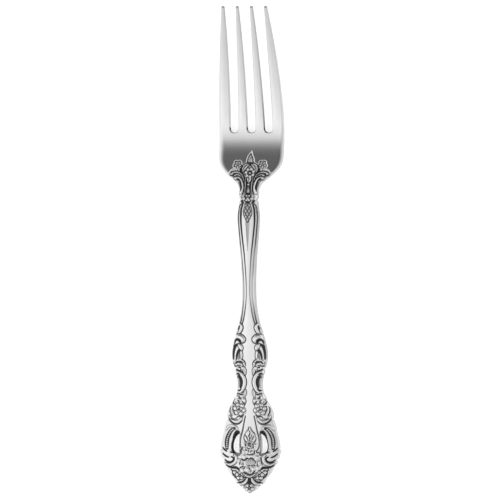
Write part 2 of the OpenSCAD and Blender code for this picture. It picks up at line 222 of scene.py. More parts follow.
class Relief:
    """Heights in millimetres above the face, and painted shade from 0 to 1, over the points of a mesh."""

    def __init__(self, x, y):
        self.across, self.y = x.ravel(), y.ravel()
        self.mirror(True)
        self.dome = HANDLE_DOME
        self.height = np.zeros(self.y.size)
        self.painted_shade = np.zeros(self.y.size)

    def mirror(self, alike):
        """Draws the next motifs on both sides alike, or by their own left and right."""
        self.x = np.abs(self.across) if alike else self.across

    def near(self, low_x, high_x, low_y, high_y, reach):
        """The points in a box that is widened by reach."""
        inside_x = (self.x > low_x - reach) & (self.x < high_x + reach)
        return np.nonzero(inside_x & (self.y > low_y - reach) & (self.y < high_y + reach))[0]

    def lay(self, at, gap, height, painted_shade, groove=0.0, stain=0.95, depth=0.2):
        """Lays a form over what is there, with its painted shade: gap is the distance outside its edge,
        groove the cut round it, which painted shade darkens.
        """
        if groove:
            cut = smooth_step(groove + SOFT_EDGE, groove - SOFT_EDGE, gap)
            self.height[at] += cut * (np.minimum(self.height[at], -depth) - self.height[at])
            self.painted_shade[at] += cut * (np.maximum(self.painted_shade[at], stain) - self.painted_shade[at])
        cover = smooth_step(SOFT_EDGE, -SOFT_EDGE, gap)
        self.height[at] += cover * (height - self.height[at])
        self.painted_shade[at] += cover * (painted_shade - self.painted_shade[at])

    def stroke(self, points):
        """Points near a stroke: their indices, gap outside it, share of the way in, and side."""
        path = smooth_path(points)
        reach = GROOVE_REACH + path[:, 2].max() / 2
        low, high = path.min(axis=0), path.max(axis=0)
        at = self.near(low[0], high[0], low[1], high[1], reach)
        gap = np.full(at.size, FAR)
        half, side = np.ones(at.size), np.zeros(at.size)
        for a, b in zip(path, path[1:]):
            run = b[:2] - a[:2]
            span = math.hypot(*run) + TINY
            off_x, off_y = self.x[at] - a[0], self.y[at] - a[1]
            t = np.clip((off_x * run[0] + off_y * run[1]) / span**2, 0, 1)
            here_half = (a[2] + t * (b[2] - a[2])) / 2
            away = np.hypot(off_x - t * run[0], off_y - t * run[1])
            closer = away - here_half < gap
            gap[closer] = (away - here_half)[closer]
            half[closer] = here_half[closer]
            side[closer] = (np.sign(off_x * run[1] - off_y * run[0]) * away / here_half)[closer]
        return at, gap, np.clip(-gap / half, 0, 1), side

    def rounded(self, inward, lift):
        """The height of a round form at a share of the way in."""
        return EDGE_LIFT + (lift - EDGE_LIFT) * (inward * (2 - inward)) ** self.dome

    def band(self, *points, lift=0.5, groove=0.34, stain=0.95):
        """A raised round band, such as a scroll, with painted shade in the groove round it."""
        at, gap, inward, _ = self.stroke(points)
        self.lay(at, gap, self.rounded(inward, lift), 0, groove, stain)

    def leaf(self, *points, lift=0.5, groove=0.34, stain=0.95, rib_shade=0.8, rib_width=0.3,
             rib_start=(0.2, 0.6), rib_depth=0.25):
        """A raised leaf with a cut midrib that fades out towards the edge, with painted shade in the midrib
        and in the groove round the leaf.
        """
        at, gap, inward, side = self.stroke(points)
        rib = np.exp(-((side / rib_width) ** 2)) * smooth_step(*rib_start, inward)
        self.lay(at, gap, self.rounded(inward, lift) - rib_depth * rib, rib_shade * rib, groove, stain)

    def hollow(self, *points, depth=0.3, stain=0.97):
        """A recess darkened with painted shade."""
        at, gap, inward, _ = self.stroke(points)
        self.lay(at, gap, bowl(inward, depth), stain)

    def cuts(self, paths, depth=0.15, stain=0.9):
        """Short cuts darkened with painted shade, such as those between petals."""
        for path in paths:
            self.hollow(*path, depth=depth, stain=stain)

    def ground(self, *points, depth=0.15, stain=0.9):
        """A sunk ground darkened with painted shade, that motifs stand on."""
        at, gap, _, _ = self.stroke(points)
        self.lay(at, gap, -depth, stain)

    def line(self, *points, fade, right_fade=None, depth=0.25):
        """A cut line whose painted shade follows fade, a list of y and shade, or right_fade on the right.
        """
        at, gap, inward, _ = self.stroke(points)
        left, right = [np.interp(self.y[at], *zip(*stops)) for stops in (fade, right_fade or fade)]
        shades = np.where(self.across[at] > 0, right, left)
        self.lay(at, gap, bowl(inward, depth), shades)

    def knob(self, x, y, width, lift=0.5, groove=0.3, stain=0.95, lean=0.0):
        """A raised round knob or bead, which may lean towards the handle, with painted shade in the groove
        round it.
        """
        at = self.near(x, x, y, y, width)
        away = np.hypot(self.x[at] - x, self.y[at] - y)
        rise = np.sqrt(np.clip(1 - (2 * away / width) ** 2, 0, 1))
        height = EDGE_LIFT + (lift - EDGE_LIFT) * rise + lean * (self.y[at] - y)
        self.lay(at, away - width / 2, height, 0, groove, stain)

    def petal(self, x, y, width, lift=0.45, groove=0.12, stain=0.85, flat=0.7,
              folded=1.9, fold_place=0.55, fold_width=0.1, fold_depth=0.08, fold_stain=0.5):
        """A petal, flatter than a knob, with a fine cut round it, and a fold if wider than folded, both
        darkened with painted shade.
        """
        at = self.near(x, x, y, y, width)
        away = 2 * np.hypot(self.x[at] - x, self.y[at] - y) / width
        rise = np.clip(1 - away**2, 0, 1) ** (flat * self.dome)
        fold = np.exp(-(((away - fold_place) * width / 2 / fold_width) ** 2)) if width > folded else 0
        height = EDGE_LIFT + (lift - EDGE_LIFT) * rise - fold_depth * fold
        self.lay(at, (away - 1) * width / 2, height, fold_stain * fold, groove, stain)

    def scatter(self, petals, **looks):
        """Petals at a list of x, y and width, with no cut round them."""
        for x, y, width in petals:
            self.petal(x, y, width, groove=0, **looks)

    def petals(self, x, y, width, count, turn, ring, size, lift, groove=0.12, stain=0.85):
        """A ring of petals round (x, y), width across, with ring and size as shares of it."""
        for place_x, place_y in ring_places(x, y, ring * width, count, turn):
            self.petal(place_x, place_y, size * width, lift, groove, stain)

    def rosette(self, x, y, width, turn=math.pi / 2, heart=0.18):
        """A small rose: five petals, a ring of painted shade and a heart, which is a share of its width."""
        self.petals(x, y, width, ROSE_PETALS, turn, ring=0.3, size=0.42, lift=0.5, groove=0.18, stain=0.92)
        self.knob(x, y, heart * width, lift=0.55, stain=0.97)

    def rimmed(self, at, gap, lift=0.5, wall=0.35, line=0.35, soft=0.1, depth=0.3, stain=0.97):
        """A raised form with a bright sloping wall and a line of painted shade inside it."""
        start = smooth_step(wall, wall + soft, -gap)
        cut = start * smooth_step(wall + line + soft, wall + line, -gap)
        self.lay(at, gap, lift * smooth_step(0, wall, -gap) - depth * cut, stain * cut)

    def bloom(self, x, y, width, turn=-math.pi / 2, lobe_ring=0.26, lobe_radius=0.24, heart=0.14):
        """A small rose on painted shade inside a rim that follows its five petals, with sizes as shares of
        its width.
        """
        at = self.near(x, x, y, y, width)
        lobes = []
        for lobe_x, lobe_y in ring_places(x, y, lobe_ring * width, ROSE_PETALS, turn):
            lobes.append(np.hypot(self.x[at] - lobe_x, self.y[at] - lobe_y) - lobe_radius * width)
        self.rimmed(at, np.min(lobes, axis=0), wall=0.28, line=2)
        self.petals(x, y, width, ROSE_PETALS, turn, ring=0.22, size=0.19, lift=0.6, groove=0)
        self.knob(x, y, heart * width, lift=0.65, groove=0.15)


def draw_root(r):
    """The flame, blooms, curls, rose and scrolls at the root of the head."""
    r.hollow((3.2, 33.4, 0.5), (3.7, 32, 1.1), (3.4, 30.9, 1), (2.6, 29.5, 0.8), (1.8, 28, 0.7))
    r.mirror(False)
    at, gap, _, _ = r.stroke([(0.35, 39, 0.2), (0.25, 38.2, 0.75), (0.05, 37.3, 1.6), (-0.05, 36.4, 2.5),
                              (0, 35.4, 3.2), (0, 34.4, 3.4)])
    r.rimmed(at, gap, wall=0.32, line=0.45)
    r.mirror(True)
    r.leaf((0, 37, 0.2), (0, 36.2, 0.7), (0, 35.2, 1.3), (0, 34.4, 1.4), (0, 33.4, 0.8), lift=0.55,
           groove=0, rib_shade=0.4)
    r.bloom(4.95, 33.4, 4.2)
    r.band((4.2, 31.8, 0.35), (5.6, 31.8, 0.4), (6.8, 31.6, 0.4), (7.65, 30.9, 0.45), (7.9, 30, 0.4),
           lift=0.4, groove=0)
    r.band((7.05, 29.75, 0.9), (6.5, 30.3, 0.7), (5.4, 30.45, 0.65), (4.4, 30.3, 0.65), (3.4, 29.75, 0.65),
           (2.7, 28.9, 0.6), (2.25, 27.8, 0.5), (2.1, 27, 0.3), lift=0.6, groove=0.45)
    r.band((5.75, 29.15, 0.75), (5, 29.5, 0.55), (4.3, 29.4, 0.55), (3.5, 28.85, 0.55), (2.95, 28, 0.5),
           (2.7, 27, 0.3), lift=0.6)
    r.ground((3.9, 26.6, 0.5), (3.6, 25.4, 0.9), (3.5, 24, 0.9), (3.4, 22.9, 0.6), stain=0.55)
    r.hollow((4.5, 27.6, 0.4), (3.7, 27.3, 0.7), (3.25, 26.3, 0.75), (3.05, 24.8, 0.75), (3.1, 23.5, 0.6),
             (3.2, 22.9, 0.3))
    r.band((5.35, 28.05, 1), (4.6, 28.4, 0.7), (3.8, 28.15, 0.75), (3.1, 27.4, 0.8), (2.6, 26.2, 0.8),
           (2.25, 24.8, 0.75), (2.35, 23.4, 0.8), (2.8, 22.4, 1.1), lift=0.65)
    r.ground((0, 34, 1), (0.9, 33.6, 1.4), (1.7, 32.8, 2.2), (2.1, 31.4, 1.4), stain=0.92)
    r.leaf((0.5, 33.2, 0.3), (1, 33.35, 1), (1.8, 32.9, 1.7), (2.5, 31.8, 1.4), (2.7, 30.7, 0.5), lift=0.65,
           groove=0.38, rib_shade=0.9)
    r.ground((0, 28, 2.6), (0, 26.4, 2.4), (0, 24.6, 2.4), (0, 22.6, 2.6))
    r.leaf((0, 28.3, 1.8), (0, 27.4, 1.5), (0, 26.5, 0.5))
    r.band((1.5, 27.4, 0.3), (1.3, 26.2, 0.45), (1.25, 24.6, 0.45), (1.3, 23, 0.3), groove=0.2)
    r.leaf((0, 25, 0.3), (0, 24, 0.7), (0, 22.9, 1.2), (0, 22.2, 0.7), groove=0.25)
    r.knob(0, 25.6, 0.9, lift=0.65)
    r.mirror(False)
    r.ground((0, 30.3, 4.3), (0.2, 30.2, 4.3))
    r.petals(0.1, 30.2, 4.1, count=7, turn=0.35, ring=0.37, size=0.3, lift=0.65, groove=0)
    r.knob(0.15, 30.1, 0.85, lift=0.7, groove=0)
    r.mirror(True)


# How far a collar knob leans back from the slope of the neck
COLLAR_LEAN = 0.2


def draw_collar(r):
    """The small rose and knobs round the neck."""
    r.ground((0, 21.3, 2.4), (0.9, 20.9, 1.4), (1.3, 20, 1.2), (1.4, 18.9, 1.2), (0.6, 18.8, 1.2),
             (0, 18.9, 1.2), stain=0.95)
    r.hollow((2.6, 19.9, 0.4), (2.35, 19.2, 0.7), (2.1, 18.3, 0.7), (2.1, 17.2, 0.5))
    r.band((1.65, 19.6, 0.4), (1.35, 18.8, 0.5), (0.9, 18.15, 0.65), (0.3, 17.8, 0.6), lift=0.4, groove=0.1)
    r.knob(2.5, 20.75, 2.1, lift=0.45, groove=0.05, stain=0.6, lean=COLLAR_LEAN)
    r.hollow((2.5, 20.9, 0.5), (2.3, 20.3, 0.6), stain=0.35, depth=0.05)
    r.knob(0.5, 21.2, 0.8, lift=0.4, groove=0, lean=COLLAR_LEAN)
    r.knob(1.6, 20.1, 1.2, groove=0.1, lean=COLLAR_LEAN)
    r.knob(0, 20.3, 0.7, lift=0.4, groove=0, lean=COLLAR_LEAN)
    r.knob(0.5, 19.5, 0.9, lift=0.4, groove=0, lean=COLLAR_LEAN)


def draw_bud(r):
    """The netted bud at the top of the stem, under painted shade that is darker in its net."""
    edge, rise, bud_shade, net_start = 0.1, 0.4, 0.3, (0.02, 0.15)
    step, slant, width, depth, net_shade = 1.3, 0.55, 0.24, 0.2, 0.67
    at, gap, inward, _ = r.stroke([(0, 17.3, 2), (0, 16, 2.8), (0, 14.6, 3.2), (0, 13.2, 2.1), (0, 11.9, 1),
                                   (0, 11.1, 0.2)])
    lines = [np.abs((r.x[at] + lean * r.y[at]) % step - step / 2) for lean in (slant, -slant)]
    net = np.exp(-((np.minimum(*lines) / width) ** 2)) * smooth_step(*net_start, inward)
    height = edge + rise * (inward * (2 - inward)) ** r.dome - depth * net
    r.lay(at, gap, height, bud_shade + net_shade * net, groove=0.25, stain=0.97)


# Painted shade in the inner and the outer line of the stem, and in both on the right: y, shade
INNER_FADE = [
    (-29, 0.97), (-24, 0.85), (-19, 0.5), (-15, 0.5), (-11, 0.72), (-4, 0.85), (3, 0.93), (8, 0.97),
]
OUTER_FADE = [(-29, 0.97), (-24, 0.85), (-18, 0.75), (-11, 0.8), (-4, 0.85), (3, 0.93), (8, 0.97)]
RIGHT_FADE = [(-29, 0.97), (-24, 0.75), (-19, 0.35), (-12, 0.38), (-4, 0.7), (3, 0.93), (8, 0.97)]


def draw_stem(r):
    """Two cut lines with a thread between them, down each side of the stem, darkened with painted shade."""
    r.line((2.05, 18.3, 0.5), (2.3, 17, 0.75), (2.6, 15.7, 0.8), (2.75, 12.8, 0.8), (2.65, 9.9, 0.7),
           (2.05, 4, 0.6), (1.45, -1.1, 0.5), (0.95, -7.7, 0.42), (0.7, -13, 0.4), (0.7, -18, 0.4),
           (1.3, -23.3, 0.45), (2, -27, 0.5), (2.5, -28.5, 0.55), fade=INNER_FADE, right_fade=RIGHT_FADE)
    r.line((2.7, 18, 0.5), (3.2, 17.2, 0.55), (3.6, 15.7, 0.6), (3.75, 12.8, 0.6), (3.65, 9.9, 0.55),
           (3.2, 5.2, 0.5), (2.6, -0.5, 0.45), (2, -7.7, 0.42), (1.75, -13, 0.4), (1.75, -18, 0.4),
           (2.25, -23.3, 0.45), (2.9, -27, 0.6), (3.3, -28.4, 0.6), fade=OUTER_FADE, right_fade=RIGHT_FADE)
    r.line((0, 11, 1.7), (0, 8, 1.3), (0, 4, 0.8), (0, 0, 0.3), fade=[(0, 0.35), (4, 0.5), (11, 0.4)],
           depth=0.12)


# Petals of the roses on the swelling, as x, y and width, and the cuts among them
SWELL_PETALS = [
    (2.2, -44.2, 1.3), (2.9, -43.2, 1.3), (4.3, -43, 1.4), (5.6, -43.4, 1.3), (6.1, -44.6, 1.3),
    (2.7, -45.9, 1.5), (3.9, -46.2, 1.6), (5.1, -45.8, 1.5),
]
SWELL_CUTS = [
    [(1.4, -45.2, 0.3), (1.45, -44.2, 0.35), (1.9, -43.2, 0.4), (2.8, -42.6, 0.4)],
    [(2.6, -44.5, 0.5), (3, -43.8, 0.85), (3.7, -43.5, 0.7)],
    [(4.2, -43.45, 0.5), (4.9, -43.7, 0.75), (5.3, -44.2, 0.45)],
    [(3.4, -44.9, 0.3), (4, -45.05, 0.45), (4.6, -44.8, 0.5)],
    [(2.1, -45.3, 0.4), (2.7, -45.2, 0.45)],
    [(3.4, -45.75, 0.4), (4.1, -45.65, 0.5)],
    [(5, -45.2, 0.4), (5.7, -45.3, 0.5)],
    [(3.4, -46.2, 0.25), (3.3, -46.9, 0.35)],
    [(2.5, -47.6, 0.45), (3.3, -47.25, 0.6), (4.3, -46.95, 0.6), (5.2, -46.5, 0.5), (5.9, -46.1, 0.35)],
    [(6.2, -43.4, 0.3), (6.1, -44.2, 0.45)],
    [(5.9, -44.7, 0.35), (6.2, -45.3, 0.45)],
]
# A column of small beads at the waist: x, highest y, step, count
WAIST_BEADS = (4.35, -50.3, 0.7, 5)


def draw_swell(r):
    """Curls, volutes, flutes, leaves and roses on the swelling, and the scrolls at the waist."""
    r.band((3.5, -28.9, 0.6), (2.95, -29.5, 1), (2.95, -30.4, 1.2), (3.4, -31.5, 1.1), (4, -32.5, 0.8),
           (4.7, -33.4, 0.4))
    r.hollow((3.95, -29.7, 0.4), (4.2, -30.2, 0.85), (4.1, -30.8, 0.6), (4.25, -31.4, 0.3))
    r.hollow((4.2, -31.2, 0.3), (4.6, -32.2, 0.35), (5.1, -33.1, 0.3), stain=0.7)
    r.band((6.6, -37.6, 0.4), (6.35, -36.4, 0.8), (5.6, -34.7, 1.2), (4.4, -33.7, 1.6), (3.3, -34, 2.2),
           (2.7, -34.8, 2.65), lift=0.6)
    r.hollow((3.2, -36.4, 0.4), (3.5, -35.5, 1.1), (4.15, -34.95, 1.05), (4.8, -34.85, 0.8),
             (5.5, -35.3, 0.7), (6.15, -36.2, 0.5), (6.6, -37.2, 0.25))
    r.hollow((4.3, -36.5, 0.5), (5.3, -37.2, 1.1), (5.95, -38.6, 1.15), (6.25, -40.2, 1), (6.3, -41.9, 0.8),
             (6.25, -42.6, 0.5))
    r.band((3.1, -39.2, 0.5), (3.15, -40.4, 1.1), (3.3, -41.6, 1.4), (3.6, -42.7, 0.8), groove=0.25)
    r.hollow((3.5, -40.6, 0.25), (3.6, -41.4, 0.45), (3.55, -42.2, 0.3), stain=0.55)
    r.hollow((3.6, -38.6, 0.6), (4.1, -39.2, 1.05), (4.65, -40.4, 1), (5, -41.8, 0.8), (5, -42.6, 0.5))
    r.band((4.2, -36.7, 0.5), (3.6, -37.3, 1.5), (3.1, -38.1, 1.5), (2.9, -38.9, 0.5), groove=0.25)
    r.leaf((2.4, -45.6, 0.6), (2, -46.5, 1.25), (1.8, -47.5, 1.05), (1.65, -48.5, 0.4), groove=0.25,
           stain=0.8, rib_shade=0.4)
    r.ground((4.6, -50, 0.9), (4.3, -51.7, 1.6), (4.6, -53.4, 0.9), stain=0.55)
    r.hollow((4.6, -48.9, 0.4), (3.95, -49.5, 1), (3.3, -50.6, 1.25), (3.1, -51.7, 1.3), (3.25, -52.7, 1.1),
             (3.7, -53.6, 0.5))
    bead_x, bead_y, bead_step, bead_count = WAIST_BEADS
    for i in range(bead_count):
        r.knob(bead_x, bead_y - bead_step * i, 0.55, lift=0.1, groove=0.1, stain=0.75)
    r.band((5.6, -47.4, 1.3), (4.4, -47.6, 1.25), (3.1, -48.5, 1.3), (2.2, -49.9, 1.35), (1.9, -51.5, 1.4),
           (2.15, -53, 1.35), (2.8, -54.4, 1.25), (3.8, -55.35, 1.1), (5.1, -55.5, 0.8), groove=0.3)
    r.hollow((3.7, -48.5, 0.3), (4.4, -48.1, 0.5), (5.1, -48.4, 0.55), (5.2, -49.1, 0.5), (4.6, -49.7, 0.3))
    r.hollow((3.2, -54.2, 0.25), (3.9, -54.75, 0.55), (4.7, -54.65, 0.4))
    r.scatter(SWELL_PETALS)
    r.cuts(SWELL_CUTS, depth=0.2, stain=0.92)
    r.petal(4, -44.4, 1.1, groove=0)


# Petals of the clusters below the waist, as x, y and width, and the cuts among them
CLUSTER_PETALS = [
    (3.6, -56.9, 2.2), (5.2, -57.3, 1.9), (2.2, -58.7, 1.9), (5.7, -60.1, 1.8), (4.1, -59.2, 2.4),
    (2.9, -60.9, 2.2), (2.2, -63, 2), (5.7, -63.7, 1.8), (4.9, -61.9, 2.4), (3.9, -63.6, 2.4),
]
CLUSTER_CUTS = [
    [(4.8, -55.7, 0.35), (3.6, -56.3, 0.5), (2.7, -56.2, 0.35)],
    [(4.2, -56.9, 0.4), (4, -57.6, 0.6), (3.3, -57.8, 0.4)],
    [(6, -58, 0.35), (6.6, -59.2, 0.6), (6.2, -60, 0.5), (5.2, -60.3, 0.35)],
    [(2.9, -59, 0.35), (2.4, -59.6, 0.5), (1.9, -60.2, 0.65)],
    [(1.6, -57.6, 0.25), (1.35, -59, 0.3), (1.6, -60, 0.35)],
    [(4.7, -58.5, 0.35), (4.1, -59.3, 0.45), (4.4, -60.2, 0.4)],
    [(7.4, -60.9, 0.3), (7.9, -61.9, 0.5), (7.9, -63.2, 0.55), (7.2, -64.7, 0.4)],
    [(6.6, -60.9, 0.3), (6.7, -62.2, 0.45), (6.4, -63.2, 0.4), (5.9, -64.3, 0.35)],
    [(2.4, -64.3, 0.4), (3.3, -64.95, 0.8), (4.2, -64.8, 0.5), (5.2, -65.3, 0.4), (5.2, -65.9, 0.3)],
    [(5.7, -65.6, 0.25), (6.5, -66.1, 0.45), (7.5, -65.7, 0.4)],
]
# The large rose of each cluster: x, y, width
CLUSTER_ROSE = (4.1, -62.1, 5)


def draw_bell(r):
    """Rose clusters, cupping scrolls and the flaring threads below the waist."""
    r.leaf((1.6, -54.6, 0.5), (1.75, -55.8, 1.2), (2.1, -57.1, 0.7), groove=0.2, stain=0.75, rib_shade=0.3)
    r.band((6.2, -58.6, 0.5), (7.2, -60.9, 0.8), (7.5, -62.9, 0.9), (7.1, -64.6, 0.6), groove=0)
    r.band((6, -60, 0.4), (6.4, -61.4, 0.7), (6.3, -63, 0.7), (6, -64.4, 0.4), groove=0)
    r.scatter(CLUSTER_PETALS, fold_stain=0.15)
    r.band((8.2, -64.7, 0.5), (7.4, -66, 1.1), (6.1, -66.8, 1.4), (4.7, -66.9, 1.4), (3.6, -66.1, 1.1),
           (3.1, -65, 0.6), lift=0.6, groove=0.15, stain=0.6)
    r.cuts(CLUSTER_CUTS)
    r.petals(*CLUSTER_ROSE, count=6, turn=0.2, ring=0.34, size=0.35, lift=0.45, groove=0.15)
    r.petals(*CLUSTER_ROSE, count=3, turn=0.9, ring=0.13, size=0.26, lift=0.5, groove=0.15)
    r.hollow((3.9, -62.3, 0.3), (4.2, -62.5, 0.35), (4.5, -62.2, 0.35), (4.3, -61.8, 0.3), depth=0.12,
             stain=0.85)
    r.hollow((8.5, -65.3, 0.3), (7.9, -66.5, 0.65), (6.8, -67.5, 0.6), (5.4, -67.95, 0.5),
             (4.2, -67.7, 0.45), (3.15, -66.7, 0.4), stain=0.88)
    r.hollow((1.75, -64.8, 0.45), (2.1, -66.4, 0.5), (2.45, -68.2, 0.5), (2.8, -70, 0.55),
             (3.2, -71.6, 0.6), (3.6, -73.2, 0.5), (3.75, -75, 0.45), (3.7, -76.6, 0.5), (3.2, -77.9, 0.5),
             stain=0.85)
    r.band((9.5, -70, 0.6), (8.5, -68.9, 0.9), (7.2, -68.5, 1.1), (6, -68.8, 1.1), (5.2, -69.6, 0.9),
           (4.8, -70.6, 0.5), lift=0.35, groove=0.15, stain=0.4)


# The beaded channel along each bow: x and y, widths, and its beads
BOW_LINE = [(6.2, -69.6), (7.5, -70.5), (8.45, -72), (9.1, -73.7), (9.3, -75.6), (9.25, -77.4)]
BOW_WIDTHS = [1.1, 1.6, 1.8, 1.8, 1.8, 1.3]
BEAD_WIDTH = 0.66
BEAD_STEP = 0.78
BEAD_SPANS = 24

# Cuts of the palmette, and petals and cuts of the small rose below it; x is negative on the left
PALMETTE_CUTS = [
    [(-0.4, -69, 0.3), (-0.5, -69.7, 0.45), (-0.6, -70.2, 0.4), (-1, -70.6, 0.25), (-1.65, -71.4, 0.22),
     (-2.1, -72.1, 0.3), (-2.35, -73.1, 0.35), (-2.05, -74.1, 0.45), (-1.6, -74.7, 0.6),
     (-1.25, -75.1, 0.45)],
    [(0.3, -69.1, 0.35), (0.6, -70, 0.45), (1.2, -70.8, 0.45), (1.95, -71.5, 0.5), (2.1, -72.1, 0.35)],
    [(2.1, -72.3, 0.3), (2.55, -73.2, 0.3), (2.35, -74.2, 0.5), (1.9, -74.9, 0.55), (1.7, -75.1, 0.4)],
    [(-0.1, -70.5, 0.3), (0.1, -71.4, 0.4), (-0.1, -72.1, 0.5), (-0.5, -72.7, 0.4)],
    [(0, -73, 0.45), (0, -73.7, 0.5), (0, -74.4, 0.5)],
    [(-1.75, -72.1, 0.3), (-1.15, -73.1, 0.4), (-0.65, -74.2, 0.3)],
    [(1.6, -72.6, 0.35), (1.2, -73.4, 0.4), (0.85, -74.2, 0.3)],
    [(0.9, -71.9, 0.2), (0.65, -72.7, 0.3), (0.5, -73.5, 0.2)],
]
TONGUE_PETALS = [
    (2.3, -76.2, 1.3), (-2.4, -77.3, 1.3), (-1.7, -76, 1.8), (1.4, -76.9, 1.7), (-0.3, -76.9, 1.2),
    (-1.6, -77.6, 1.4), (0.8, -77.7, 1.4), (-0.9, -78.7, 1.5), (0.9, -78.8, 1.5), (-2.4, -78.6, 1.4),
    (2.7, -78.8, 1.5),
]
TONGUE_CUTS = [
    [(-0.35, -75.5, 0.5), (0.1, -75.55, 0.75), (0.4, -75.7, 0.5)],
    [(-1.7, -75.8, 0.55), (-1.55, -76.3, 0.6)],
    [(-0.7, -75.8, 0.35), (-0.4, -76.2, 0.45), (0, -76.3, 0.4)],
    [(0.2, -76.4, 0.4), (0.5, -76.7, 0.45)],
    [(1.4, -76.7, 0.6), (1.4, -77.1, 0.6)],
    [(0.9, -76, 0.3), (1.4, -75.8, 0.4)],
    [(-1, -77.1, 0.3), (-0.5, -77.5, 0.35), (0.2, -77.45, 0.3)],
    [(-1.5, -77.8, 0.4), (-1.4, -78.2, 0.45)],
    [(-0.35, -78, 0.3), (-0.45, -78.6, 0.35)],
    [(0.65, -78.1, 0.35), (0.5, -78.6, 0.35), (0.45, -79.1, 0.3)],
    [(1.85, -78.1, 0.4), (1.9, -78.8, 0.5), (1.9, -79.6, 0.45)],
    [(-3, -76.8, 0.4), (-2.8, -77.4, 0.5)],
    [(-3.7, -78, 0.6), (-3.6, -78.7, 0.9), (-3.6, -79.4, 0.7)],
    [(3, -78, 0.35), (2.7, -78.5, 0.35), (3, -79.1, 0.4), (3.6, -78.9, 0.5)],
]


def draw_openwork(r):
    """Beaded bows round the two openings, and the palmette and rose on the tongue."""
    r.hollow(*[(x, y, width) for (x, y), width in zip(BOW_LINE, BOW_WIDTHS)], depth=0.2, stain=0.93)
    line = smooth_path([(x, y, 1) for x, y in BOW_LINE], BEAD_SPANS)
    walk = np.concatenate([[0], np.cumsum(np.hypot(*np.diff(line[:, :2], axis=0).T))])
    for at in np.arange(BEAD_STEP, walk[-1], BEAD_STEP):
        x, y = np.interp(at, walk, line[:, 0]), np.interp(at, walk, line[:, 1])
        r.knob(x, y, BEAD_WIDTH, lift=0.2, groove=0)
    at, gap, inward, _ = r.stroke([(0, -69, 0.3), (0, -70.2, 1.6), (0, -71.2, 2.9), (0, -72.3, 3.8),
                                   (0, -73.4, 4.3), (0, -74.3, 4.2)])
    edge, rise = 0.1, 0.15
    r.lay(at, gap, edge + rise * inward, 0, groove=0.1, stain=0.35)
    r.mirror(False)
    r.cuts(PALMETTE_CUTS, stain=0.88)
    r.scatter(TONGUE_PETALS)
    r.band((-1.2, -75.35, 0.4), (-0.6, -75, 0.55), (0.1, -74.8, 0.6), (0.9, -75, 0.55), (1.5, -75.35, 0.4),
           groove=0.1)
    r.cuts(TONGUE_CUTS)
    r.mirror(True)


# Petals of the large rose at the handle end, and the cuts among them; x is negative on the left
END_PETALS = [
    (-2.1, -80.6, 2.3), (1, -80.4, 2.2), (3.1, -80.9, 2), (-3.9, -82.5, 2.3), (3.7, -82.9, 2.5),
    (-3.3, -84.1, 2.2), (3.4, -84.9, 2.3), (-2.9, -85.8, 2.2), (1.4, -85.3, 2.7), (-0.9, -85.6, 2.5),
]
END_CUTS = [
    [(-3.2, -81.6, 0.5), (-2.6, -82, 0.55), (-2.1, -82.1, 0.55), (-1.55, -81.75, 0.65), (-1, -81.3, 0.65),
     (-0.4, -81.45, 0.45), (0.1, -81.45, 0.5), (0.7, -81.25, 0.75), (1.3, -81.55, 0.6), (1.8, -81.9, 0.5),
     (2.15, -82.4, 0.45), (2.4, -83.1, 0.3)],
    [(-2.1, -86.6, 0.4), (-1.6, -87.1, 0.6), (-0.8, -87.35, 0.65), (-0.1, -87.5, 0.7), (0.4, -87.7, 0.75),
     (0.9, -87.4, 0.65), (1.5, -86.95, 0.6), (2.15, -86.2, 0.45)],
    [(-3.9, -85.1, 0.4), (-3.15, -84.7, 0.4), (-2.35, -84.4, 0.3)],
    [(-3.7, -82.4, 0.25), (-3.85, -83, 0.35), (-4.05, -83.6, 0.25)],
    [(-2.7, -82.7, 0.25), (-2.6, -83.2, 0.3), (-2.5, -83.8, 0.25)],
    [(3.1, -82.3, 0.25), (3.05, -83.1, 0.3), (3.1, -84.1, 0.45)],
    [(4.3, -80.9, 0.4), (4.5, -82, 0.4), (4.8, -83.1, 0.45), (5.1, -83.9, 0.4)],
    [(-0.4, -84, 0.3), (0.1, -84.1, 0.35)],
    [(0.9, -84.15, 0.35), (1.3, -84.15, 0.4)],
    [(1.9, -84, 0.45), (2.2, -83.9, 0.4)],
    [(-0.4, -84.9, 0.3), (0.05, -85.3, 0.45), (0.1, -85.7, 0.3)],
    [(0.6, -85.8, 0.3), (0.6, -86.2, 0.4), (0.35, -86.7, 0.3)],
    [(-2.4, -85.5, 0.3), (-2, -84.9, 0.45), (-1.85, -84.5, 0.3)],
    [(-1, -79.75, 0.35), (0.3, -79.85, 0.45), (1.6, -79.6, 0.35)],
]


def draw_heart(r):
    """The hatched heart of the large rose, under light painted shade that is darker in its hatching."""
    edge, rise, heart_shade, hatch_start = 0.25, 0.05, 0.12, (0.1, 0.3)
    step, slant, width, depth, hatch_shade = 0.85, 0.9, 0.2, 0.1, 0.4
    at, gap, inward, _ = r.stroke([(-0.45, -82.9, 1.95), (1.1, -82.95, 1.95)])
    place = (r.across[at] + slant * r.y[at]) / step
    hatch = np.exp(-(((place % 1 - 0.5) / width) ** 2)) * smooth_step(*hatch_start, inward)
    height = edge + rise * inward - depth * hatch
    r.lay(at, gap, height, heart_shade + hatch_shade * hatch, groove=0.12, stain=0.6)


